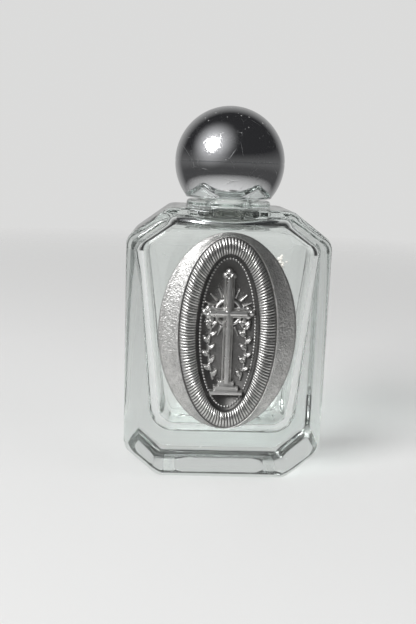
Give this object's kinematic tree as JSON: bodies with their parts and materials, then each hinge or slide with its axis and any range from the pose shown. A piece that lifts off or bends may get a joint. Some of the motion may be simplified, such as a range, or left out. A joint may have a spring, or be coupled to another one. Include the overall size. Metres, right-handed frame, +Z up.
{
  "type": "holy water bottle",
  "caption": "Small flat glass flask with cut corners, a round chromed screw cap and an oval cast medal on its front, for carrying holy water.",
  "frame": {"origin": "on the table, at the centre of the base, on the neck's axis", "axes": "+Z up along the neck's axis, -Y out of the front face with the medal, +X to the right as seen from the front"},
  "size_m": [0.038, 0.0269, 0.0707],
  "materials": {
    "clear_glass": "clear, polished",
    "chrome_shell": "mirror plated, lightly scuffed",
    "insert_plastic": "moulded, natural white",
    "liner_foam": "soft foam sheet",
    "antiqued_pewter": "cast, polished highs and dark antiqued hollows",
    "dried_glue": "dried glue"
  },
  "bodies": {
    "bottle": {"glass_bottle": "clear_glass", "medal_plaque": "antiqued_pewter", "glue_pad": "dried_glue"},
    "liner": {"cap_liner": "liner_foam"},
    "cap": {"cap_dome": "chrome_shell", "cap_cup": "chrome_shell", "cap_thread_insert": "insert_plastic"}
  },
  "joints": [
    {"name": "cap_rise", "type": "slide", "parent": "bottle", "child": "liner", "axis": [0, 0, 1], "range_m": [0, 0.0085]},
    {"name": "cap_turn", "type": "hinge", "parent": "liner", "child": "cap", "pos_m": [0, 0, 0.0602], "axis": [0, 0, 1], "range_deg": [0, 1440]}
  ],
  "couplings": [
    {"joint": "cap_rise", "follows": "cap_turn", "m_per_rad": 0.00033741}
  ]
}
